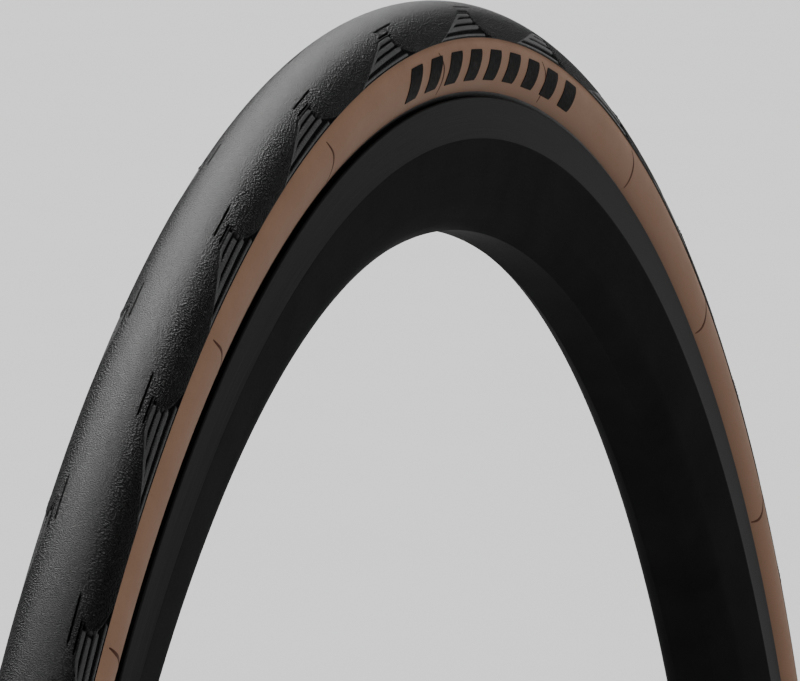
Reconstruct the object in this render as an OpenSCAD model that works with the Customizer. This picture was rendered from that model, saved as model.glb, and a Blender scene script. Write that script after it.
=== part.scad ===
// Road bicycle tyre, size 25-622, held in its inflated shape by the plain rim hoop it is seated on.
// Millimetres. The ring's centre is the origin, its axle runs along Y and it stands in the XZ plane.
// Left is the -Y side. Sections are drawn in the plane of radius and Y, then turned about the axle.

/* [Tyre] */
// Outer diameter over the tread
tyre_d = 673; // [672.5:0.1:673.5]
// Width across the sidewalls
tyre_w = 22; // [21.8:0.1:22.2]
// Distance of the tread's edges from the centre plane
tread_edge_y = 9.6; // [9.3:0.05:9.7]
// Height of the step from the sidewall up to the tread
tread_step = 0.3; // [0.2:0.05:0.4]
// Thickness of the sidewall skins
skin_t = 0.6; // [0.5:0.05:0.7]
// Thickness of one rubberised casing ply
ply_t = 0.45; // [0.4:0.05:0.5]
// Thickness of the puncture breaker
breaker_t = 0.6; // [0.5:0.05:0.7]
// Width of the puncture breaker
breaker_w = 15; // [14:0.5:15.5]

/* [Beads] */
// Diameter of the bead seat, the 622 of the size marking
bead_seat_d = 622; // [621.8:0.1:622.2]
// Radius of the rubber round a bead core
bead_rubber_r = 1.5; // [1.4:0.05:1.6]
// Radius of one cord strand of a bead core
strand_r = 0.38; // [0.3:0.02:0.4]
// Thickness of the chafer strips
chafer_t = 0.6; // [0.5:0.05:0.7]

/* [Label] */
// Number of printed bars in a label
label_bars = 9; // [3:1:9]
// Angle that one bar covers round the tyre, degrees
bar_a = 1.6; // [1:0.1:2]
// Angle from one bar to the next, degrees
bar_pitch_a = 2.6; // [2.5:0.1:3]
// Angle of the first label's middle, counted from +X towards +Z, degrees
label_mid_a = 84; // [80:1:100]
// Thickness of the print
label_t = 0.15; // [0.1:0.05:0.2]

/* [Rim] */
// Width across the rim's flanges
rim_w = 20.4; // [20.2:0.1:20.6]
// Height of the flanges above the bead seat
flange_h = 5.4; // [5.3:0.1:5.5]
// Thickness of a flange
flange_t = 1.7; // [1.6:0.1:1.8]
// Height of a machined brake track
track_h = 8.8; // [8:0.1:9.2]
// Radius of the spoke bed, the hoop's innermost face
spoke_bed_r = 288; // [287.5:0.1:288.5]
// Wall thickness of the hollow rim body
rim_wall = 1.2; // [1:0.1:1.4]

/* [Hidden] */
$fn = 120;

far = 60;                                    // larger than anything in a section
tyre_r = tyre_d / 2;
seat_r = bead_seat_d / 2;
flange_r = seat_r + flange_h;
flange_y = rim_w / 2 - flange_t;             // inner face of a flange

// Sidewall outline: an upper arc centred on the centre plane, and a flatter arc down to the flange
wide_y = tyre_w / 2;
wide_r = tyre_r - 13;                        // radius at which the tyre is widest
side_gap = 0.2;                              // the sidewall leaves the flange this far inside its edge
drop = wide_r - flange_r;
inset = wide_y - flange_y + side_gap;
lower_r = (drop * drop + inset * inset) / (2 * inset);
skin_foot_r = flange_r + 1.1;                // lower edge of the skins, just above the flanges

// Tread outline: an arc through the crown and both raised edges
tread_edge_r = wide_r + sqrt(pow(wide_y, 2) - pow(tread_edge_y, 2));
edge_y = tread_edge_y + tread_step;
crown_c = (pow(tyre_r, 2) - pow(tread_edge_r, 2) - pow(edge_y, 2)) / (2 * (tyre_r - tread_edge_r));

// Bead: ply and chafer lie between its rubber and the seat and flange
wrap_t = ply_t + chafer_t;
bead_r = seat_r + wrap_t + bead_rubber_r;
bead_y = flange_y - wrap_t - bead_rubber_r;
mouth_y = bead_y - bead_rubber_r;             // half the gap between the turned ends of the plies
strand_pitch = 2 * strand_r + 0.06;

// Rim body: a round belly below the brake tracks, cut flat at the spoke bed
track_foot_r = flange_r - track_h;
track_flare = 0.5;                           // how far a track's foot stands out from the flange
belly_r = 9.2;
belly_c = spoke_bed_r + 8;
chamber_top_r = seat_r - 3.4;
well_r = seat_r - 2;
well_y = 2.8;

module ring() { rotate([-90, 0, 0]) rotate_extrude($fn = 360) children(); }
module left_ring() { ring() mirror([0, 1]) children(); }

// Rectangle from radius r0 to r1 and from y0 to y1
module box(r0, r1, y0, y1) { translate([r0, y0]) square([r1 - r0, y1 - y0]); }

// Everything inside the sidewall outline moved inwards by inset_by, above the bead's centre
module inside(inset_by) {
    intersection() {
        translate([wide_r, 0]) circle(r = wide_y - inset_by);
        box(wide_r, wide_r + far, -far, far);
    }
    for (side = [0, 1]) mirror([0, side]) intersection() {
        translate([wide_r, wide_y - lower_r]) circle(r = lower_r - inset_by);
        box(bead_r, wide_r, 0, far);
    }
}

// Band round the crown between two distances out from the plies' outer face, half_w to each side
module crown_band(out0, out1, half_w) {
    intersection() {
        difference() {
            translate([wide_r, 0]) circle(r = wide_y - skin_t + out1);
            translate([wide_r, 0]) circle(r = wide_y - skin_t + out0);
        }
        box(wide_r, wide_r + far, -half_w, half_w);
    }
}

module breaker_section() { crown_band(ply_t, ply_t + breaker_t, breaker_w / 2); }
module overlap_section() { crown_band(-ply_t, ply_t, breaker_w / 2 - 0.5); }

module skin_section() {
    intersection() {
        difference() { inside(0); inside(skin_t); }
        box(skin_foot_r, tread_edge_r + 1.2, 0, far);
    }
}

module tread_section() {
    difference() {
        intersection() {
            translate([crown_c, 0]) circle(r = tyre_r - crown_c);
            box(tread_edge_r, tyre_r + 1, -far, far);
        }
        translate([wide_r, 0]) circle(r = wide_y - skin_t);
        overlap_section();
        breaker_section();
        for (side = [0, 1]) mirror([0, side]) skin_section();
    }
}

module at_bead() { translate([bead_r, bead_y]) children(); }

module casing_wall_section() {
    difference() {
        inside(skin_t);
        inside(skin_t + 2 * ply_t);
        box(0, wide_r, -mouth_y, mouth_y);
        for (side = [0, 1]) mirror([0, side]) at_bead() circle(r = bead_rubber_r + ply_t / 2);
    }
}

module ply_turn_section() {
    at_bead() difference() { circle(r = bead_rubber_r + ply_t); circle(r = bead_rubber_r); }
}

module strand_sections() {
    circle(r = strand_r);
    for (i = [0:5]) rotate(60 * i) translate([strand_pitch, 0]) circle(r = strand_r);
}

module bead_rubber_section() {
    at_bead() difference() { circle(r = bead_rubber_r); strand_sections(); }
}

module chafer_toe_section() {
    toe_y = bead_y - bead_rubber_r - wrap_t;
    difference() {
        polygon([[seat_r, toe_y + 0.9], [seat_r, flange_y], [flange_r - 0.4, flange_y],
                 [flange_r - 0.4, bead_y], [bead_r, toe_y], [seat_r + 0.9, toe_y]]);
        at_bead() circle(r = bead_rubber_r + ply_t);
        inside(skin_t);
    }
}

module chafer_wing_section() {
    difference() {
        intersection() { inside(0); box(bead_r + 1, skin_foot_r, bead_y, far); }
        at_bead() circle(r = bead_rubber_r + ply_t);
        inside(skin_t);
    }
}

// The labels of one side: two rows of bars, centred at label_mid_a and half a turn from it
module label_rows() {
    rotate([-90, 0, 0])
        for (mid = [-label_mid_a, 180 - label_mid_a], i = [0:label_bars - 1])
            rotate_extrude(angle = bar_a, start = mid + (i - (label_bars - 1) / 2) * bar_pitch_a - bar_a / 2)
                children();
}

module label_section() {
    intersection() {
        difference() { inside(-label_t); inside(0); }
        box(skin_foot_r + 2.4, tread_edge_r - 2.4, 0, far);
    }
}

module tread_cap() { color("#1b1b1c") ring() tread_section(); }
module puncture_breaker() { color("#c9b458") ring() breaker_section(); }
module casing_ply() {
    color("#4a4038") union() {
        ring() casing_wall_section();
        ring() overlap_section();
        ring() ply_turn_section();
        left_ring() ply_turn_section();
    }
}

module bead_core_left() { color("#d8b23c") left_ring() at_bead() strand_sections(); }
module bead_core_right() { color("#d8b23c") ring() at_bead() strand_sections(); }
module bead_rubber_left() { color("#2a2a2a") left_ring() bead_rubber_section(); }
module bead_rubber_right() { color("#2a2a2a") ring() bead_rubber_section(); }
module chafer_left() {
    color("#202020") union() {
        left_ring() chafer_toe_section();
        left_ring() chafer_wing_section();
    }
}

module chafer_right() {
    color("#202020") union() {
        ring() chafer_toe_section();
        ring() chafer_wing_section();
    }
}

module sidewall_left() { color("#8a6a55") left_ring() skin_section(); }
module sidewall_right() { color("#8a6a55") ring() skin_section(); }

module label_left() { color("#1a1512") label_rows() mirror([0, 1]) label_section(); }
module label_right() { color("#1a1512") label_rows() label_section(); }

// A section outline from the points of its +Y half, closed by their mirror image
function both_halves(half) = concat(half, [for (i = [len(half) - 1:-1:0]) [half[i][0], -half[i][1]]]);

module rim_shoulder_section() {
    polygon(both_halves([[belly_c - 3, belly_r - 0.9], [track_foot_r, rim_w / 2 + track_flare],
                         [flange_r, rim_w / 2], [flange_r, flange_y], [seat_r, flange_y],
                         [seat_r, well_y], [well_r, well_y]]));
}

module rim_belly_section(radius, floor_r) {
    intersection() {
        translate([belly_c, 0]) circle(r = radius);
        box(floor_r, belly_c + radius, -far, far);
    }
}

module rim_chamber_section() {
    polygon(both_halves([[belly_c - 3, belly_r - 0.9 - rim_wall], [chamber_top_r, rim_w / 2 - 1.2]]));
}

module rim() {
    color("#26272a") difference() {
        union() {
            ring() rim_shoulder_section();
            ring() rim_belly_section(belly_r, spoke_bed_r);
        }
        ring() rim_chamber_section();
        ring() rim_belly_section(belly_r - rim_wall, spoke_bed_r + rim_wall + 0.6);
    }
}

tread_cap();
puncture_breaker();
casing_ply();
bead_core_left();
bead_core_right();
bead_rubber_left();
bead_rubber_right();
chafer_left();
chafer_right();
sidewall_left();
sidewall_right();
label_left();
label_right();
rim();
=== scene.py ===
import math

import bpy
import numpy as np
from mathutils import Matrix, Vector


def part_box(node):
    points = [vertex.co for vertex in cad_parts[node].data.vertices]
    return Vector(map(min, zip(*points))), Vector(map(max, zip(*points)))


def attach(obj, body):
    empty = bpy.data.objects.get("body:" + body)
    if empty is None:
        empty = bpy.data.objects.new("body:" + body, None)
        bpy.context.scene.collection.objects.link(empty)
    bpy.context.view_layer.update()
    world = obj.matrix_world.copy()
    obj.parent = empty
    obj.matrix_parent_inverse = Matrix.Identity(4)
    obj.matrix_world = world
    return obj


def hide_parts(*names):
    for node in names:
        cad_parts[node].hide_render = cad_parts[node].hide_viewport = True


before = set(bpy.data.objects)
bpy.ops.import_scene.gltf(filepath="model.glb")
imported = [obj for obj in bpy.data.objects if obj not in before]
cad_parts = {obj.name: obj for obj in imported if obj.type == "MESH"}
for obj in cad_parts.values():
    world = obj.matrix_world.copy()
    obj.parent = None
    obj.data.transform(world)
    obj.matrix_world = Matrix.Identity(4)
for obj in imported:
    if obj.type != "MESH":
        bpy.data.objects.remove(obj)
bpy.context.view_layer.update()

MM = 0.001
TURN = 2 * math.pi

# Sizes from the frame, in metres
TREAD_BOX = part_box("tread_cap")
RIM_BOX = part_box("rim")
TYRE_R = TREAD_BOX[1].z
EDGE_Y = TREAD_BOX[1].y
WIDE_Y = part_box("sidewall_right")[1].y
FLANGE_R = RIM_BOX[1].z
TRACK_FOOT_Y = RIM_BOX[1].y

# Sizes that the frame's boxes don't give
WIDE_R = TYRE_R - 13 * MM                   # radius at which the tyre is widest
TREAD_STEP = 0.3 * MM                       # step from the sidewall up to the tread
SKIN_T = 0.6 * MM
SKIN_TOP = 1.2 * MM                         # how far the skins run on under the tread
FLANGE_Y = 8.5 * MM                         # inner face of a flange
FLANGE_OUT_Y = 10.2 * MM
SIDE_GAP = 0.2 * MM
FOOT_GAP = 1.1 * MM                         # from the flange up to the skins' lower edge
SUNK = 0.02 * MM                            # how deep the label's feet lie in the skin
TRACK_H = 8.8 * MM
SEAT_R = FLANGE_R - 5.4 * MM
WELL_R = SEAT_R - 2 * MM
WELL_Y = 2.8 * MM
SPOKE_BED_R = 288 * MM
BELLY_R = 9.2 * MM
BELLY_C = SPOKE_BED_R + 8 * MM

# Tread pattern: groups of ribs on both shoulders
GROUPS = 36
GROUP_START = math.radians(5.1)             # angle of the first left hook, from +X towards +Z
GROUP_LEAD = 0.2                            # share of a group's pitch that lies above its hook
GROUP_COLUMNS = 84                          # mesh columns in one group's stretch of tread
GROUP_DRIFT = math.radians(4.6)             # the most that a group lies past even spacing
DRIFT_START = math.radians(115)             # where that begins; it peaks a quarter turn on
PATTERN_DEPTH = 0.5 * MM
PATTERN_SHARE = 0.62                        # the most of the tread's thickness that it takes away

# Mesh columns round the turn
SKIN_COLUMNS = 720
RIM_COLUMNS = 900
CHAMBER_COLUMNS = 180

# Sidewall seams
SEAMS = 26
SEAM_START = math.radians(3.96)
SEAM_DRIFT = math.radians(10)               # the most that a seam lies off even spacing
SEAM_DRIFT_PEAK = math.radians(95)          # where it falls that far short; half a turn on it lies past
SEAM_HALF_W = 0.6 * MM
SEAM_H = 0.06 * MM
SEAM_FOOT = 0.5 * MM                        # from the skin's foot to the seams'
SEAM_TOP = 1.6 * MM                         # from the seams' upper ends to the tread
SEAM_BOW = 1.5 * MM
SEAM_WAVE = 0.4 * MM                        # a wave along each seam, shifted from one to the next
SEAM_STEPS = 24
# A seam's section: across and out of the skin, in half widths and heights
SEAM_PROFILE = ((-1, -0.4), (-0.5, 0.8), (0.5, 0.8), (1, -0.4))

# Label: rows of plain bars, angles in degrees
LABEL_BARS = 9
LABEL_MIDDLE = 84                           # from +X towards +Z
LABEL_PITCH = 2.6
LABEL_BAR = 1.5
LABEL_LEAN = 0.45                           # how far a bar's ends lean from its middle
LABEL_TAPER = 0.12                          # how much narrower its ends are
LABEL_ROWS = 12
LABEL_COLUMNS = 5
LABEL_T = 0.15 * MM
LABEL_INSET = 2.4 * MM

# Surroundings: a pale band at the horizon, where the floor ends, and a dim room above it
HORIZON_LIGHT = 1.2
HORIZON_TOP = 0.06                          # heights on the unit sphere
ROOM_FOOT = 0.14
ROOM_LIGHT = 0.07
FLOOR_HALF = 60.0
FLOOR_GAP = 0.2 * MM


# ---------- sections ----------

def crown_circle():
    """Centre and radius of the tread's outer arc, through the crown and both raised edges."""
    edge_r = WIDE_R + math.sqrt(WIDE_Y ** 2 - (EDGE_Y - TREAD_STEP) ** 2)
    centre = (TYRE_R ** 2 - edge_r ** 2 - EDGE_Y ** 2) / (2 * (TYRE_R - edge_r))
    return centre, TYRE_R - centre, edge_r


CROWN_C, CROWN_RHO, EDGE_R = crown_circle()
EDGE_T = CROWN_RHO * math.atan2(EDGE_Y, EDGE_R - CROWN_C)      # arc length from crown to edge


def arc(centre, radius, start, end, count):
    """Points (r, y) along an arc, angles counted from the outward radius towards +Y."""
    angles = np.linspace(start, end, count)
    return np.column_stack([centre[0] + radius * np.cos(angles), centre[1] + radius * np.sin(angles)])


def sidewall_outline(offset=0.0):
    """The sidewall's outer line on the +Y side, from its foot up to under the tread."""
    inset = WIDE_Y - FLANGE_Y + SIDE_GAP
    drop = WIDE_R - FLANGE_R
    lower_rho = (drop ** 2 + inset ** 2) / (2 * inset)
    foot_r = FLANGE_R + FOOT_GAP
    foot_a = math.pi / 2 + math.asin((WIDE_R - foot_r) / (lower_rho + offset))
    top_a = math.acos((EDGE_R + SKIN_TOP - WIDE_R) / (WIDE_Y + offset))
    lower = arc((WIDE_R, WIDE_Y - lower_rho), lower_rho + offset, foot_a, math.pi / 2, 14)
    upper = arc((WIDE_R, 0), WIDE_Y + offset, math.pi / 2, top_a, 18)
    return np.vstack([lower, upper[1:]])


# ---------- meshes ----------

def grid_faces(columns, rows):
    """Quads of a ring: columns wrap round the turn, rows wrap round the section."""
    c, r = np.meshgrid(np.arange(columns), np.arange(rows), indexing="ij")
    c2, r2 = (c + 1) % columns, (r + 1) % rows
    quads = np.stack([c * rows + r, c2 * rows + r, c2 * rows + r2, c * rows + r2], axis=-1)
    return quads.reshape(-1, 4)


def to_world(radius, y, angle):
    """Points from radius, y and the angle about the axle, as one list of x, y, z."""
    return np.stack([radius * np.cos(angle), y, radius * np.sin(angle)], axis=-1).reshape(-1, 3)


def turned(section, columns):
    """Vertices and faces of a closed section (r, y) turned about the axle."""
    angles = np.linspace(0, TURN, columns, endpoint=False)
    radius, angle = np.meshgrid(section[:, 0], angles)
    y = np.broadcast_to(section[:, 1], radius.shape)
    return to_world(radius, y, angle), grid_faces(columns, len(section))


def signed_area(section):
    r, y = section[:, 0], section[:, 1]
    return 0.5 * np.sum(r * np.roll(y, -1) - y * np.roll(r, -1))


def facing_out(section):
    """The section in the order whose faces look outwards."""
    return section if signed_area(section) < 0 else section[::-1]


def make_object(name, verts, faces, materials, smooth=True):
    """An object from vertices and quads."""
    mesh = bpy.data.meshes.new(name)
    mesh.vertices.add(len(verts))
    mesh.vertices.foreach_set("co", np.asarray(verts, np.float32).ravel())
    faces = np.asarray(faces, np.int32)
    mesh.loops.add(faces.size)
    mesh.loops.foreach_set("vertex_index", faces.ravel())
    mesh.polygons.add(len(faces))
    mesh.polygons.foreach_set("loop_start", np.arange(0, faces.size, 4, dtype=np.int32))
    mesh.update(calc_edges=True)
    mesh.validate()
    for material in materials:
        mesh.materials.append(material)
    mesh.polygons.foreach_set("use_smooth", np.full(len(mesh.polygons), smooth))
    piece = bpy.data.objects.new(name, mesh)
    bpy.context.scene.collection.objects.link(piece)
    return piece


def keep_corners(piece, degrees):
    """Marks edges sharper than an angle, so that smooth shading stops at them."""
    piece.data.set_sharp_from_angle(angle=math.radians(degrees))


def set_slots(piece, slots):
    """The material slot of each face."""
    piece.data.polygons.foreach_set("material_index", np.asarray(slots, np.int32))


def add_values(piece, name, values):
    """A number per vertex, which the piece's material reads."""
    layer = piece.data.attributes.new(name, "FLOAT", "POINT")
    layer.data.foreach_set("value", np.asarray(values, np.float32).ravel())


# ---------- tread pattern ----------
# c is the distance round the tread from a group's hook, t the distance across from the crown, both in mm.

EDGE = EDGE_T / MM
SLANT_FOOT = (6.6, 6.7)                      # upper end of the boundary that the ribs' feet follow
SLANT_TIP = 32.0                             # c of its lower end, on the tread's edge
SLANT_BOW = 1.2
SLANT_FLANK = 0.3                            # width of the slope along it
LOBE_T = 8.7                                 # t at which the lobe above a group reaches furthest down
LOBE_C = 0.6                                 # c that it reaches there
LOBE_BACK = (0.45, 1.1)                      # how fast it draws back towards the edge and the crown
LOBE_FLANK = 0.35
FLOOR_T = (7.15, 7.4)                        # t over which a group's floor sinks, on the crown's side
FLOOR_EDGE = (0.22, 0.12)                    # from the tread's edge, where the floor rises again
RIBS = [                                     # start, bend, length of the taper past it, half width
    ((0.9, 7.85), (7.6, 7.85), 6.0, 0.34),
    ((1.5, 9.35), (14.2, 9.55), 7.5, 0.42),
    ((-0.3, 10.95), (23.0, 11.35), 7.0, 0.40),
]
RIB_TIP = 0.08                               # half width at the taper's end
RIB_TIP_OUT = 0.32                           # from the slanted boundary out to the taper's end
RIB_H = 0.86                                 # as a share of the depth round the rib
RIB_FLANK = 0.22
EDGE_RIB = ((-3.6, EDGE - 0.62), (SLANT_TIP - 4, EDGE - 0.55))
EDGE_RIB_HALF = (0.2, 0.16)                  # half width at either end
SIPES = [                                    # fine cuts between the crown and a group, start and end
    ((-6.6, 5.1), (4.6, 5.1)),
    ((-1.0, 6.75), (6.0, 6.75)),
]
SIPE_HALF = 0.07
SIPE_FLANK = 0.16
SIPE_DEPTH = 1.25                            # as a share of the pattern's depth
LIP_H = 0.3                                  # as a share of the pattern's depth
LIP_SHINE = 0.8                              # as a share of a rib's, which also gives the lip part of the ribs' painted highlight
LIP_SHIFT = 0.1                              # from its middle down to the lobe's end
LIP_FLANK = 0.45
LIP_T = (8.0, 9.2)                           # t over which the lip rises
LIP_EDGE = (0.6, 0.3)                        # from the tread's edge, where it fades out
SHOULDER_T = (3.0, 9.5)                      # t over which the crown's stipple gives way to pebbles and painted shade darkens the shoulder
FINE_T = 4.7                                 # t past which the mesh is fine
PLAIN_ROWS = 6
FINE_ROWS = 64


def soft_step(x, low, high):
    """0 below low, 1 above high, a smooth step between."""
    s = np.clip((x - low) / (high - low), 0, 1)
    return s * s * (3 - 2 * s)


def slant(c):
    """t of the slanted boundary at c."""
    s = np.clip((c - SLANT_FOOT[0]) / (SLANT_TIP - SLANT_FOOT[0]), 0, 1)
    return SLANT_FOOT[1] + (EDGE - SLANT_FOOT[1]) * (1 - (1 - s) ** SLANT_BOW)


def lobe_end(t):
    """c at which the pebbled lobe above a group ends, at t: furthest down at its middle, LOBE_T."""
    outwards = np.maximum(t - LOBE_T, 0)
    inwards = np.maximum(LOBE_T - t, 0)
    return LOBE_C - LOBE_BACK[0] * outwards ** 2 - LOBE_BACK[1] * inwards ** 1.5


def near_segment(c, t, start, end, half_start, half_end):
    """How far outside a tapered bar from start to end a point is, negative inside it."""
    ax, ay = start
    dx, dy = end[0] - ax, end[1] - ay
    s = np.clip(((c - ax) * dx + (t - ay) * dy) / (dx * dx + dy * dy), 0, 1)
    away = np.hypot(c - ax - s * dx, t - ay - s * dy)
    return away - (half_start + (half_end - half_start) * s)


def rib_distance(c, t):
    """Distance outside the nearest rib. Each rib runs round the tread, then tapers along the boundary."""
    away = near_segment(c, t, *EDGE_RIB, *EDGE_RIB_HALF)
    for start, bend, taper, half in RIBS:
        away = np.minimum(away, near_segment(c, t, start, bend, half, half))
        tip_c = bend[0] + taper
        tip = (tip_c, float(slant(np.array(tip_c))) + RIB_TIP_OUT)
        away = np.minimum(away, near_segment(c, t, bend, tip, half, RIB_TIP))
    return away


def sunken(c, t):
    """1 on a group's sunken floor, 0 outside the group."""
    inside = soft_step(c - lobe_end(t), 0.0, LOBE_FLANK)
    inside *= soft_step(t - slant(c), 0.0, SLANT_FLANK)
    inside *= 1 - soft_step(t, EDGE - FLOOR_EDGE[0], EDGE - FLOOR_EDGE[1])
    return inside * soft_step(t, *FLOOR_T)


def sipes(c, t):
    """1 on the fine cuts, 0 off them."""
    away = [near_segment(c, t, start, end, SIPE_HALF, SIPE_HALF) for start, end in SIPES]
    return 1 - soft_step(np.minimum(*away), 0.0, SIPE_FLANK)


def lobe_lip(c, t):
    """1 on the smooth lip along a lobe's end, 0 off it."""
    lip = 1 - soft_step(np.abs(c - lobe_end(t) + LIP_SHIFT), 0.0, LIP_FLANK)
    lip *= soft_step(t, *LIP_T) * (1 - soft_step(t, EDGE - LIP_EDGE[0], EDGE - LIP_EDGE[1]))
    return lip


def pattern(c, t):
    """Depth share (0 at the surface, 1 at the floor) and rib share of the pattern at points (c, t). The
    tread's material paints shade by the depth share and a highlight by the rib share.
    """
    inside = sunken(c, t)
    ribs = 1 - soft_step(rib_distance(c, t), 0.0, RIB_FLANK)
    lip = lobe_lip(c, t) * (1 - inside)
    depth = np.maximum(inside * (1 - RIB_H * ribs), SIPE_DEPTH * sipes(c, t))
    return depth - LIP_H * lip, np.maximum(inside * ribs, LIP_SHINE * lip)


def from_hook(angles, side):
    """Distance in mm round the tread from the nearest hook above each angle. The right side is staggered."""
    pitch = TURN / GROUPS
    stagger = pitch / 2 if side > 0 else 0.0
    lead = GROUP_LEAD * pitch
    drift = GROUP_DRIFT * np.maximum(np.sin(angles - DRIFT_START), 0) ** 2
    return ((angles - GROUP_START - drift - stagger + lead) % pitch - lead) * EDGE_R / MM


def row_distances():
    """Distances across the tread from the crown, fine on the shoulders where the pattern is."""
    plain = np.linspace(0, FINE_T, PLAIN_ROWS, endpoint=False)
    shoulder = np.linspace(FINE_T, EDGE - 0.1, FINE_ROWS)
    half = np.concatenate([plain, shoulder])
    return np.concatenate([-half[:0:-1], half])


def tread_underside():
    """The tread's inner line from its -Y edge to its +Y edge: over the skins, then over the breaker."""
    skin_gap = 0.02 * MM
    breaker_t = 0.47 * MM
    breaker_a = 0.66                         # half the breaker's spread round the section
    edge_a = math.acos((EDGE_R - WIDE_R) / WIDE_Y)
    skin_a = math.acos((EDGE_R + SKIN_TOP - WIDE_R) / WIDE_Y)
    over_skin = arc((WIDE_R, 0), WIDE_Y + skin_gap, edge_a, skin_a, 4)
    over_breaker = arc((WIDE_R, 0), WIDE_Y + breaker_t, breaker_a, 0.0, 7)
    half = np.vstack([over_skin, over_breaker])
    return np.vstack([half * (1, -1), half[-2::-1]])


def tread_closing():
    """The rest of the tread's section, behind its surface: one edge, the underside, the other edge."""
    up, back = 0.05 * MM, 0.06 * MM
    corner = np.array([[EDGE_R + up, EDGE_Y], [EDGE_R, EDGE_Y - back]])
    return np.vstack([corner, tread_underside()[::-1], corner[::-1] * (1, -1)])


def build_tread(material):
    """The tread cap with its pattern cut into both shoulders, closed underneath."""
    t = row_distances()
    angles = np.linspace(0, TURN, GROUPS * GROUP_COLUMNS, endpoint=False)
    across = np.broadcast_to(np.abs(t), (len(angles), len(t)))
    left, right = from_hook(angles, -1), from_hook(angles, 1)
    share, rib = pattern(np.where(t < 0, left[:, None], right[:, None]), across)

    lean = t * MM / CROWN_RHO
    surface_r = CROWN_C + CROWN_RHO * np.cos(lean)
    surface_y = CROWN_RHO * np.sin(lean)
    thickness = np.hypot(surface_r - WIDE_R, surface_y) - WIDE_Y
    cut = share * np.minimum(PATTERN_DEPTH, PATTERN_SHARE * thickness)

    closing = tread_closing()
    shape = (len(angles), len(closing))
    radius = np.hstack([surface_r - cut * np.cos(lean), np.broadcast_to(closing[:, 0], shape)])
    y = np.hstack([surface_y - cut * np.sin(lean), np.broadcast_to(closing[:, 1], shape)])
    angle = np.broadcast_to(angles[:, None], radius.shape)
    faces = grid_faces(len(angles), radius.shape[1])
    piece = make_object("tread", to_world(radius, y, angle), faces[:, ::-1], [material])
    keep_corners(piece, 60)

    blank = np.zeros(shape)
    # depth, rib and shoulder also set where the tread's material paints shade and highlight
    add_values(piece, "depth", np.hstack([share, blank]))
    add_values(piece, "rib", np.hstack([rib, blank]))
    add_values(piece, "shoulder", np.hstack([soft_step(across, *SHOULDER_T), blank]))
    add_values(piece, "across", np.hstack([np.broadcast_to(t * MM, share.shape), blank]))
    return piece


# ---------- other pieces ----------

def slab(front, back):
    """Vertices and faces of a thin closed sheet between two grids of points."""
    rows, columns = front.shape[:2]
    verts = np.vstack([front.reshape(-1, 3), back.reshape(-1, 3)])
    index = np.arange(rows * columns).reshape(rows, columns)
    corners = [index[:-1, :-1], index[:-1, 1:], index[1:, 1:], index[1:, :-1]]
    face = np.stack(corners, axis=-1).reshape(-1, 4)
    behind = face[:, ::-1] + rows * columns
    border = np.concatenate([index[0], index[1:, -1], index[-1, -2::-1], index[-2:0:-1, 0]])
    border_behind = border + rows * columns
    edge = np.column_stack([border, border_behind, np.roll(border_behind, -1), np.roll(border, -1)])
    return verts, np.vstack([face, behind, edge])


def bar_angles(middle):
    """Angles of one leaning bar's points, row by row up the sidewall. Its ends are a little narrower."""
    s = np.linspace(-1, 1, LABEL_ROWS)[:, None]
    narrow = 1 - LABEL_TAPER * np.abs(s) ** 6
    spread = np.linspace(-0.5, 0.5, LABEL_COLUMNS) * math.radians(LABEL_BAR)
    return middle - math.radians(LABEL_LEAN) * s + spread * narrow


def build_label(name, side, material):
    """Two rows of leaning bars printed on one sidewall, half a turn apart."""
    r = np.linspace(FLANGE_R + FOOT_GAP + LABEL_INSET, EDGE_R - LABEL_INSET, LABEL_ROWS)
    lines = [sidewall_outline(LABEL_T), sidewall_outline(-SUNK)]
    levels = [side * np.interp(r, line[:, 0], line[:, 1]) for line in lines]
    verts, faces, first = [], [], 0
    for row_middle in (LABEL_MIDDLE, LABEL_MIDDLE + 180):
        for i in range(LABEL_BARS):
            angle = bar_angles(math.radians(row_middle + (i - (LABEL_BARS - 1) / 2) * LABEL_PITCH))
            shape = angle.shape
            radius = np.broadcast_to(r[:, None], shape)
            heights = [np.broadcast_to(y[:, None], shape) for y in levels]
            top, foot = [to_world(radius, y, angle).reshape(*shape, 3) for y in heights]
            bar_verts, bar_faces = slab(top, foot)
            verts.append(bar_verts)
            faces.append((bar_faces if side < 0 else bar_faces[:, ::-1]) + first)
            first += len(bar_verts)
    piece = make_object(name, np.vstack(verts), np.vstack(faces), [material])
    keep_corners(piece, 50)
    return piece


def seam_line(outline):
    """Points (r, y) where the seams run, and the way out of the skin there."""
    shown = (outline[:, 0] > outline[0, 0] + SEAM_FOOT) & (outline[:, 0] < EDGE_R - SEAM_TOP)
    visible = outline[shown]
    index = np.arange(len(visible))
    along = np.linspace(0, len(visible) - 1, SEAM_STEPS)
    r = np.interp(along, index, visible[:, 0])
    y = np.interp(along, index, visible[:, 1])
    dr, dy = np.gradient(r), np.gradient(y)
    length = np.hypot(dr, dy)
    return r, y, -dy / length, dr / length


def seam_angles(k, s):
    """Angles of seam k, at shares s of the way from its foot to its top."""
    even = SEAM_START + k * TURN / SEAMS
    bow = SEAM_WAVE * np.sin(TURN * s + k) - SEAM_BOW * np.sin(math.pi * s)
    return even - SEAM_DRIFT * math.cos(even - SEAM_DRIFT_PEAK) + bow / EDGE_R


def strip_faces(steps):
    """Quads of a closed strip with SEAM_PROFILE's lines of points along it, and a cap at each end."""
    a = np.arange(steps - 1)
    starts = steps * np.arange(len(SEAM_PROFILE))
    faces = []
    for here, there in zip(starts, np.roll(starts, -1)):
        faces.append(np.column_stack([here + a, here + a + 1, there + a + 1, there + a]))
    faces.append(starts[None, :])
    faces.append(starts[None, ::-1] + steps - 1)
    return np.vstack(faces)


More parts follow.
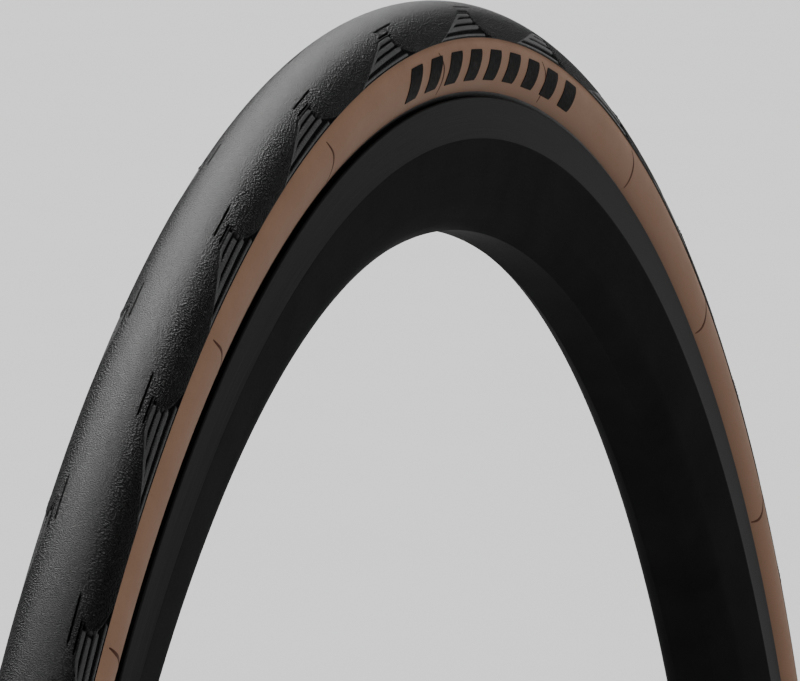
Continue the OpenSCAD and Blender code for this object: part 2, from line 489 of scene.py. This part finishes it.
def seam_strips(outline, side):
    """Fine raised seams that bow across one sidewall. Vertices and faces of all of them."""
    r, y, out_r, out_y = seam_line(outline)
    s = np.linspace(0, 1, SEAM_STEPS)
    half_width = SEAM_HALF_W * np.sqrt(np.sin(math.pi * (0.04 + 0.92 * s)))
    strip = strip_faces(SEAM_STEPS)
    strip = strip if side < 0 else strip[:, ::-1]
    verts, faces = [], []
    for k in range(SEAMS):
        middle = seam_angles(k, s)
        for shift, lift in SEAM_PROFILE:
            radius = r + out_r * SEAM_H * lift
            level = side * (y + out_y * SEAM_H * lift)
            verts.append(to_world(radius, level, middle + shift * half_width / radius))
        faces.append(strip + len(SEAM_PROFILE) * SEAM_STEPS * k)
    return np.vstack(verts), np.vstack(faces)


def build_sidewall(name, side, skin_material, seam_material):
    """One sidewall skin with its fine seams. side is -1 for left and 1 for right."""
    outline = sidewall_outline()
    lining = sidewall_outline(-SKIN_T)[::-1]
    section = facing_out(np.vstack([outline, lining]) * (1, side))
    verts, faces = turned(section, SKIN_COLUMNS)
    seam_verts, seam_faces = seam_strips(outline, side)
    all_verts = np.vstack([verts, seam_verts])
    all_faces = np.vstack([faces, seam_faces + len(verts)])
    piece = make_object(name, all_verts, all_faces, [skin_material, seam_material])
    set_slots(piece, np.arange(len(all_faces)) >= len(faces))
    keep_corners(piece, 50)
    return piece


def rim_outline():
    """The hoop's outer section, from the spoke bed up both brake tracks to the tyre well."""
    foot_r = FLANGE_R - TRACK_H
    lip_rho = 0.4 * MM
    hook_rho = 0.5 * MM
    well_slope = 0.6 * MM
    bed_a = math.pi - math.acos((BELLY_C - SPOKE_BED_R) / BELLY_R)
    belly = arc((BELLY_C, 0), BELLY_R, bed_a, math.radians(96), 10)
    flare = [
        (foot_r - 0.5 * MM, TRACK_FOOT_Y - 0.05 * MM),
        (foot_r, TRACK_FOOT_Y),
        (foot_r + 0.35 * MM, TRACK_FOOT_Y - 0.1 * MM),
    ]
    lip = arc((FLANGE_R - lip_rho, FLANGE_OUT_Y - lip_rho), lip_rho, math.pi / 2, 0, 6)
    hook = arc((FLANGE_R - hook_rho, FLANGE_Y + hook_rho), hook_rho, 0, -math.pi / 2, 6)
    well = [(SEAT_R, FLANGE_Y), (SEAT_R, WELL_Y + well_slope), (WELL_R, WELL_Y)]
    half = np.vstack([belly, flare, lip, hook, well])
    return np.vstack([half, half[::-1] * (1, -1)])


def rim_chamber():
    """The closed hollow inside the hoop. The bed is thicker than the other walls."""
    wall = 1.2 * MM
    extra = 0.6 * MM
    roof_r = SEAT_R - 3.4 * MM
    rho = BELLY_R - wall
    bed_r = SPOKE_BED_R + wall + extra
    bed_a = math.pi - math.acos((BELLY_C - bed_r) / rho)
    belly = arc((BELLY_C, 0), rho, bed_a, math.radians(100), 8)
    half = np.vstack([belly, [(roof_r, FLANGE_OUT_Y - wall)]])
    return np.vstack([half, half[::-1] * (1, -1)])


def on_track(section):
    """Which of a section's lines lie on a brake track's machined face."""
    foot_r, face_y = FLANGE_R - TRACK_H + 0.1 * MM, FLANGE_OUT_Y - 0.35 * MM
    middle_r = 0.5 * (section[:, 0] + np.roll(section[:, 0], -1))
    middle_y = 0.5 * np.abs(section[:, 1] + np.roll(section[:, 1], -1))
    return (middle_r > foot_r) & (middle_y > face_y)


def build_rim(body_material, track_material):
    """The hoop with its chamber. The brake tracks have a slot of their own."""
    section = facing_out(rim_outline())
    verts, faces = turned(section, RIM_COLUMNS)
    hollow_verts, hollow_faces = turned(facing_out(rim_chamber())[::-1], CHAMBER_COLUMNS)
    all_verts = np.vstack([verts, hollow_verts])
    all_faces = np.vstack([faces, hollow_faces + len(verts)])
    piece = make_object("rim_hoop", all_verts, all_faces, [body_material, track_material])
    slots = np.tile(on_track(section), RIM_COLUMNS)
    set_slots(piece, np.concatenate([slots, np.zeros(len(hollow_faces))]))
    keep_corners(piece, 32)
    return piece


# ---------- material tools ----------

def new_material(name):
    """A material, its node tree and its shader node."""
    material = bpy.data.materials.new(name)
    material.use_nodes = True
    return material, material.node_tree, material.node_tree.nodes["Principled BSDF"]


def feed(tree, socket, value):
    """Gives a socket a value, or links another node's output to it."""
    if isinstance(value, bpy.types.NodeSocket):
        tree.links.new(value, socket)
    else:
        socket.default_value = value


def put(tree, kind, settings=None, sockets=None):
    """A new node with its settings, and with its sockets fed."""
    node = tree.nodes.new("ShaderNode" + kind)
    for key, value in (settings or {}).items():
        setattr(node, key, value)
    for key, value in (sockets or {}).items():
        feed(tree, node.inputs[key], value)
    return node


def finished(tree, shader, colour, rough, normal, specular=0.5):
    """Feeds a material's shader."""
    sockets = {"Base Color": colour, "Roughness": rough, "Normal": normal, "Specular IOR Level": specular}
    for name, value in sockets.items():
        feed(tree, shader.inputs[name], value)


def calc(tree, operation, a, b=0.0, c=0.0):
    node = put(tree, "Math", {"operation": operation}, {0: a, 1: b, 2: c})
    return node.outputs[0]


def mapped(tree, value, low, high, out_low=0.0, out_high=1.0):
    """A value's range from low to high spread over another range, clamped."""
    node = put(tree, "MapRange", {}, {"Value": value, "From Min": low, "From Max": high,
                                      "To Min": out_low, "To Max": out_high})
    return node.outputs[0]


def mixed(tree, factor, a, b):
    """Colour a at factor 0, b at 1."""
    node = put(tree, "Mix", {"data_type": "RGBA"}, {0: factor, 6: a, 7: b})
    return node.outputs[2]


def noise(tree, vector, scale, detail=3.0, rough=0.5):
    sockets = {"Vector": vector, "Scale": scale, "Detail": detail, "Roughness": rough}
    return put(tree, "TexNoise", {}, sockets).outputs["Fac"]


def value_of(tree, name):
    return put(tree, "Attribute", {"attribute_name": name}).outputs["Fac"]


def vector_of(tree, *parts):
    return put(tree, "CombineXYZ", {}, dict(enumerate(parts))).outputs[0]


def bump(tree, height, distance, strength=1.0, normal=None):
    sockets = {"Height": height, "Distance": distance, "Strength": strength}
    if normal is not None:
        sockets["Normal"] = normal
    return put(tree, "Bump", {}, sockets).outputs["Normal"]


def object_place(tree):
    return put(tree, "TexCoord").outputs["Object"]


def part_of(tree, place, axis):
    """One of a place's three parts. Y is the distance along the axle."""
    return put(tree, "SeparateXYZ", {}, {0: place}).outputs[axis]


def radius_at(tree, place):
    """Distance from the axle."""
    squares = [calc(tree, "POWER", part_of(tree, place, axis), 2.0) for axis in "XZ"]
    return calc(tree, "SQRT", calc(tree, "ADD", *squares))


def round_at(tree, place):
    """Distance round the ring, measured at the tread."""
    angle = calc(tree, "ARCTAN2", part_of(tree, place, "Z"), part_of(tree, place, "X"))
    return calc(tree, "MULTIPLY", angle, TYRE_R)


def stripes(tree, value, pitch, sharp):
    """Waves from 0 to 1 along a length, pitch metres apart."""
    wave = calc(tree, "SINE", calc(tree, "MULTIPLY", value, TURN / pitch))
    return calc(tree, "POWER", calc(tree, "MULTIPLY_ADD", wave, 0.5, 0.5), sharp)


def rgb(r, g, b):
    return (r, g, b, 1.0)


# ---------- materials ----------

def tread_rubber():
    """Black rubber: fine stipple on the crown, coarse pebbles on the shoulders, smooth ribs. Painted shade
    darkens the shoulders and the sunken floors and sipes; a painted highlight lightens the ribs and the
    lobes' lips.
    """
    dark, light = rgb(0.009, 0.009, 0.0095), rgb(0.015, 0.015, 0.0155)
    pit, shoulder_painted_shade = rgb(0.004, 0.004, 0.004), rgb(0.004, 0.004, 0.0042)
    recess_painted_shade, rib_painted_highlight = rgb(0.002, 0.002, 0.002), rgb(0.07, 0.07, 0.071)
    material, tree, shader = new_material("tread_rubber")
    place = object_place(tree)
    depth = value_of(tree, "depth")
    rib = value_of(tree, "rib")
    shoulder = value_of(tree, "shoulder")
    skin = vector_of(tree, round_at(tree, place), value_of(tree, "across"))
    pebble = put(tree, "TexVoronoi", {"feature": "SMOOTH_F1", "voronoi_dimensions": "2D"},
                 {"Vector": skin, "Scale": 2000.0, "Smoothness": 0.2}).outputs["Distance"]
    stipple = noise(tree, skin, 3000.0, 2.0, 0.7)
    grit = noise(tree, skin, 900.0)
    patches = noise(tree, place, 40.0, 4.0)

    colour = mixed(tree, patches, dark, light)
    colour = mixed(tree, mapped(tree, stipple, 0.35, 0.65), colour, pit)
    # painted shade: the shoulders are coloured darker towards the tread's edge
    colour = mixed(tree, calc(tree, "MULTIPLY", shoulder, 0.8), colour, shoulder_painted_shade)
    # painted shade: sunken floors and sipes are coloured darker by their depth
    colour = mixed(tree, calc(tree, "MULTIPLY", depth, 0.95), colour, recess_painted_shade)
    # painted highlight: the ribs and the lobes' lips are coloured lighter
    colour = mixed(tree, calc(tree, "MULTIPLY", rib, 0.7), colour, rib_painted_highlight)
    rough = calc(tree, "MULTIPLY_ADD", shoulder, 0.12, mapped(tree, grit, 0.2, 0.8, 0.4, 0.52))
    rough = calc(tree, "ADD", rough, calc(tree, "MULTIPLY", depth, 0.2))
    rough = calc(tree, "SUBTRACT", rough, calc(tree, "MULTIPLY", rib, 0.14))
    gloss = calc(tree, "MULTIPLY_ADD", shoulder, -0.19, 0.25)
    gloss = calc(tree, "MULTIPLY_ADD", rib, 0.1, gloss)

    grained = calc(tree, "SUBTRACT", 1.0, calc(tree, "MULTIPLY", rib, 0.85))
    coarse = calc(tree, "MULTIPLY", calc(tree, "MULTIPLY", pebble, shoulder), grained)
    fine = calc(tree, "MULTIPLY", stipple, grained)
    normal = bump(tree, coarse, 0.7 * MM, normal=bump(tree, fine, 0.28 * MM))
    finished(tree, shader, colour, rough, normal, gloss)
    return material


def tan_rubber():
    """Tan sidewall: warm brown with painted shade darkening it towards the bead, faint ply threads and
    mottling.
    """
    # low is the tan with painted shade, used by the bead; high is the tan higher up
    low, high = rgb(0.095, 0.052, 0.033), rgb(0.25, 0.148, 0.098)
    blotch, speck = rgb(0.165, 0.097, 0.065), rgb(0.1, 0.055, 0.035)
    material, tree, shader = new_material("tan_rubber")
    place = object_place(tree)
    radius = radius_at(tree, place)
    mottle = noise(tree, place, 70.0, 5.0, 0.6)
    speckle = noise(tree, place, 1500.0, 2.0)
    threads = stripes(tree, calc(tree, "ADD", round_at(tree, place), radius), 0.9 * MM, 1.0)
    # painted shade: the tan is coloured darker from the tread down to the bead
    colour = mixed(tree, mapped(tree, radius, FLANGE_R, EDGE_R), low, high)
    colour = mixed(tree, mapped(tree, mottle, 0.3, 0.75, 0.0, 0.4), colour, blotch)
    colour = mixed(tree, mapped(tree, speckle, 0.55, 0.85, 0.0, 0.25), colour, speck)
    rough = mapped(tree, mottle, 0.2, 0.8, 0.5, 0.66)
    normal = bump(tree, calc(tree, "MULTIPLY_ADD", threads, 0.35, speckle), 0.03 * MM, 0.6)
    finished(tree, shader, colour, rough, normal, 0.04)
    return material


def seam_rubber():
    """The dark brown of the fine sidewall seams."""
    dark, light = rgb(0.035, 0.013, 0.008), rgb(0.07, 0.03, 0.02)
    material, tree, shader = new_material("seam_rubber")
    grain = noise(tree, object_place(tree), 800.0)
    rough = mapped(tree, grain, 0.2, 0.8, 0.5, 0.7)
    finished(tree, shader, mixed(tree, grain, dark, light), rough, bump(tree, grain, 0.02 * MM, 0.5), 0.02)
    return material


def label_print():
    """Dark heat-pressed print, a little worn."""
    fresh, faded = rgb(0.003, 0.0025, 0.0022), rgb(0.012, 0.008, 0.006)
    material, tree, shader = new_material("label_print")
    place = object_place(tree)
    grain = noise(tree, place, 1200.0)
    wear = mapped(tree, noise(tree, place, 160.0, 4.0), 0.55, 0.8, 0.0, 0.5)
    rough = mapped(tree, grain, 0.2, 0.8, 0.4, 0.58)
    finished(tree, shader, mixed(tree, wear, fresh, faded), rough, bump(tree, grain, 0.02 * MM, 0.5), 0.008)
    return material


def lathe_lines(tree, place, stretch):
    """A place squeezed round the ring, so that noise becomes fine lines that run round it."""
    round_it = calc(tree, "MULTIPLY", round_at(tree, place), stretch)
    return vector_of(tree, radius_at(tree, place), round_it, part_of(tree, place, "Y"))


def machined_track():
    """Black brake track: concentric lathe lines of uneven depth and tone."""
    dark, light = rgb(0.007, 0.007, 0.0072), rgb(0.026, 0.026, 0.026)
    band = rgb(0.014, 0.014, 0.0145)
    material, tree, shader = new_material("machined_track")
    lines_at = lathe_lines(tree, object_place(tree), 0.004)
    lines = noise(tree, lines_at, 7000.0, 3.0, 0.7)
    bands = noise(tree, lines_at, 900.0, 2.0)
    colour = mixed(tree, mapped(tree, lines, 0.3, 0.75), dark, light)
    colour = mixed(tree, mapped(tree, bands, 0.3, 0.7, 0.0, 0.35), colour, band)
    rough = mapped(tree, lines, 0.2, 0.8, 0.38, 0.56)
    finished(tree, shader, colour, rough, bump(tree, lines, 0.03 * MM, 0.5), 0.007)
    return material


def anodised_body():
    """Satin black hoop body: fine bead-blast grain with faint drawn lines round it."""
    dark, light = rgb(0.004, 0.004, 0.0041), rgb(0.009, 0.009, 0.0092)
    material, tree, shader = new_material("anodised_body")
    place = object_place(tree)
    grain = noise(tree, place, 2200.0, 2.0)
    cloud = noise(tree, place, 60.0)
    drawn = noise(tree, lathe_lines(tree, place, 0.006), 3000.0, 2.0)
    rough = calc(tree, "MULTIPLY_ADD", drawn, 0.08, mapped(tree, grain, 0.2, 0.8, 0.36, 0.48))
    normal = bump(tree, calc(tree, "ADD", grain, drawn), 0.01 * MM, 0.4)
    finished(tree, shader, mixed(tree, cloud, dark, light), rough, normal, 0.0015)
    return material


def woven(name, thread, gap, pitch, roughness):
    """Cords laid both ways at 45 degrees, with rubber between them."""
    material, tree, shader = new_material(name)
    place = object_place(tree)
    round_it, along = round_at(tree, place), part_of(tree, place, "Y")
    one_way = stripes(tree, calc(tree, "ADD", round_it, along), pitch, 0.8)
    other_way = stripes(tree, calc(tree, "SUBTRACT", round_it, along), pitch, 0.8)
    height = calc(tree, "MAXIMUM", one_way, calc(tree, "MULTIPLY", other_way, 0.8))
    fibre = noise(tree, place, 3000.0, 2.0)
    on_thread = calc(tree, "MULTIPLY", height, mapped(tree, fibre, 0.2, 0.8, 0.6, 1.0))
    rough = mapped(tree, fibre, 0.2, 0.8, roughness - 0.1, roughness + 0.1)
    finished(tree, shader, mixed(tree, on_thread, gap, thread), rough, bump(tree, height, 0.15 * MM, 0.8))
    return material


def twisted_cord():
    """Golden aramid yarn, its twist running round each strand. Painted shade darkens the twist's hollows,
    and painted glints are scattered over the fibres.
    """
    hollow_painted_shade, crest, shine = rgb(0.3, 0.2, 0.04), rgb(0.62, 0.46, 0.13), rgb(0.72, 0.6, 0.28)
    material, tree, shader = new_material("twisted_cord")
    place = object_place(tree)
    across = calc(tree, "ADD", radius_at(tree, place), part_of(tree, place, "Y"))
    slanted = calc(tree, "ADD", round_at(tree, place), calc(tree, "MULTIPLY", across, 1.6))
    twist = stripes(tree, slanted, 1.1 * MM, 0.7)
    fibre = noise(tree, place, 2500.0)
    # painted shade in the twist's hollows, lighter on its crests
    colour = mixed(tree, twist, hollow_painted_shade, crest)
    # painted glints on the fibres
    colour = mixed(tree, mapped(tree, fibre, 0.4, 0.8, 0.0, 0.4), colour, shine)
    rough = mapped(tree, fibre, 0.2, 0.8, 0.42, 0.6)
    finished(tree, shader, colour, rough, bump(tree, twist, 0.1 * MM, 0.8))
    return material


def moulded_rubber(name, dark, light, scale):
    """Plain black inner rubber with a fine moulded grain."""
    material, tree, shader = new_material(name)
    place = object_place(tree)
    grain = noise(tree, place, scale)
    cloud = noise(tree, place, 50.0)
    rough = mapped(tree, grain, 0.2, 0.8, 0.5, 0.7)
    finished(tree, shader, mixed(tree, cloud, dark, light), rough, bump(tree, grain, 0.03 * MM, 0.6))
    return material


def floor_paint():
    """Pale, even studio floor with a barely visible grain."""
    material, tree, shader = new_material("floor_paint")
    grain = noise(tree, object_place(tree), 6.0)
    colour = mixed(tree, grain, rgb(0.86, 0.86, 0.86), rgb(0.9, 0.9, 0.9))
    feed(tree, shader.inputs["Base Color"], colour)
    feed(tree, shader.inputs["Roughness"], 0.9)
    return material


# ---------- assembly ----------

def stands_for(piece, node):
    """The piece rides on the fixed body in place of a CAD node."""
    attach(piece, "root")
    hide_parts(node)


def dress(node, material):
    """Gives a carried-over CAD node its finished material."""
    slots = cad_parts[node].data.materials
    slots.clear()
    slots.append(material)


def make_tyre():
    """The pieces that stand in for CAD nodes."""
    stands_for(build_tread(tread_rubber()), "tread_cap")
    tan, seam, printed = tan_rubber(), seam_rubber(), label_print()
    for side_name, side in (("left", -1), ("right", 1)):
        skin = build_sidewall("sidewall_skin_" + side_name, side, tan, seam)
        stands_for(skin, "sidewall_" + side_name)
        label = build_label("label_bars_" + side_name, side, printed)
        stands_for(label, "label_" + side_name)
    stands_for(build_rim(anodised_body(), machined_track()), "rim")


def dress_inner_parts():
    """Materials for the CAD nodes that are kept, all of them inside the tyre."""
    yarn = twisted_cord()
    bead = moulded_rubber("bead_rubber", rgb(0.016, 0.016, 0.016), rgb(0.026, 0.026, 0.026), 900.0)
    strip = moulded_rubber("chafer_rubber", rgb(0.007, 0.007, 0.007), rgb(0.013, 0.013, 0.013), 1500.0)
    ply = woven("ply_cord", rgb(0.16, 0.12, 0.085), rgb(0.05, 0.04, 0.03), 0.7 * MM, 0.6)
    breaker = woven("breaker_cord", rgb(0.62, 0.5, 0.2), rgb(0.3, 0.22, 0.07), 1.2 * MM, 0.5)
    dress("casing_ply", ply)
    dress("puncture_breaker", breaker)
    for side in ("left", "right"):
        dress("bead_core_" + side, yarn)
        dress("bead_rubber_" + side, bead)
        dress("chafer_" + side, strip)


def add_floor():
    """A large floor that the tyre stands on."""
    half, height = FLOOR_HALF, -TYRE_R - FLOOR_GAP
    corners = [(-half, -half, height), (half, -half, height), (half, half, height), (-half, half, height)]
    make_object("studio_floor", corners, [(0, 1, 2, 3)], [floor_paint()], smooth=False)


def add_sun(name, towards, strength, spread):
    """Even, soft light from a direction, as from a very large softbox. spread is its width in degrees."""
    data = bpy.data.lights.new(name, "SUN")
    data.energy = strength
    data.angle = math.radians(spread)
    lamp = bpy.data.objects.new(name, data)
    lamp.rotation_euler = Vector(towards).to_track_quat("Z", "Y").to_euler()
    bpy.context.scene.collection.objects.link(lamp)


def add_room():
    """Dim surroundings above a pale horizon."""
    world = bpy.data.worlds.new("studio")
    world.use_nodes = True
    tree = world.node_tree
    height = part_of(tree, put(tree, "TexCoord").outputs["Generated"], "Z")
    strength = mapped(tree, height, HORIZON_TOP, ROOM_FOOT, HORIZON_LIGHT, ROOM_LIGHT)
    background = tree.nodes["Background"]
    feed(tree, background.inputs["Strength"], strength)
    feed(tree, background.inputs["Color"], rgb(1.0, 1.0, 1.0))
    bpy.context.scene.world = world


def add_lights():
    """A broad key from above and behind the tyre, and a weaker fill on the left sidewall."""
    add_sun("key", towards=(0.56, 0.28, 0.75), strength=4.7, spread=38)
    add_sun("side_fill", towards=(-0.22, -0.85, 0.28), strength=0.95, spread=60)


def add_camera():
    """Long lens, looking nearly along the ring's plane from in front of it, slightly down."""
    pan, tilt = 1.2825, -0.1026
    data = bpy.data.cameras.new("camera")
    data.lens = 678.7
    data.sensor_width = 36.0
    data.clip_end = 200.0
    camera = bpy.data.objects.new("camera", data)
    camera.location = (-3.0207, -0.8961, 0.5902)
    camera.rotation_euler = (math.pi / 2 + tilt, 0.0, -pan)
    bpy.context.scene.collection.objects.link(camera)
    bpy.context.scene.camera = camera


make_tyre()
dress_inner_parts()
add_floor()
add_lights()
add_room()
add_camera()
